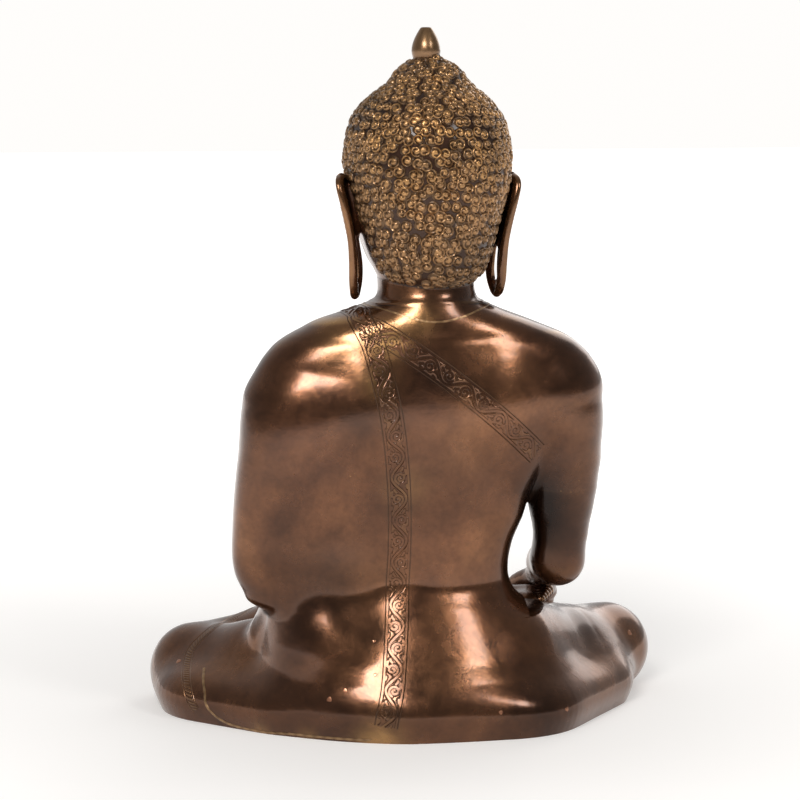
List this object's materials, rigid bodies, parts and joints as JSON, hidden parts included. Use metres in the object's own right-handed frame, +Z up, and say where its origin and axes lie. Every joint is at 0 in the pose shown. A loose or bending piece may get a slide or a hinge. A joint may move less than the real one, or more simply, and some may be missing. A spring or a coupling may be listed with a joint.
{
  "type": "seated buddha statue",
  "caption": "Seated cross-legged figure in patinated cast brass, one hand in its lap and the other reaching down to touch the ground, with a flat rim to stand on",
  "frame": {"origin": "on the plane the statue stands on, under the middle of its bounding box", "axes": "+Z up through the crown; the face looks along -Y; +X is the statue's own left"},
  "size_m": [0.2515, 0.1546, 0.33],
  "materials": {
    "patinated_brass": "hand-rubbed dark brown patina, satin, worn golden on the high spots",
    "worn_brass": "worn bright, satin",
    "sheet_brass": "rolled sheet and rod, dull",
    "copper_plug": "copper, rubbed flush"
  },
  "bodies": {
    "root": {"torso_casting": "patinated_brass", "lap_casting": "patinated_brass", "head_casting": "patinated_brass", "right_arm_casting": "patinated_brass", "left_hand_casting": "patinated_brass", "ushnisha_finial": "worn_brass", "base_plate": "sheet_brass", "base_rivets": "worn_brass", "waist_rivets": "sheet_brass", "neck_pins": "sheet_brass", "shoulder_pin": "sheet_brass", "wrist_pin": "sheet_brass", "core_plugs": "copper_plug", "neck_braze": "worn_brass", "knee_braze": "worn_brass"}
  },
  "joints": []
}
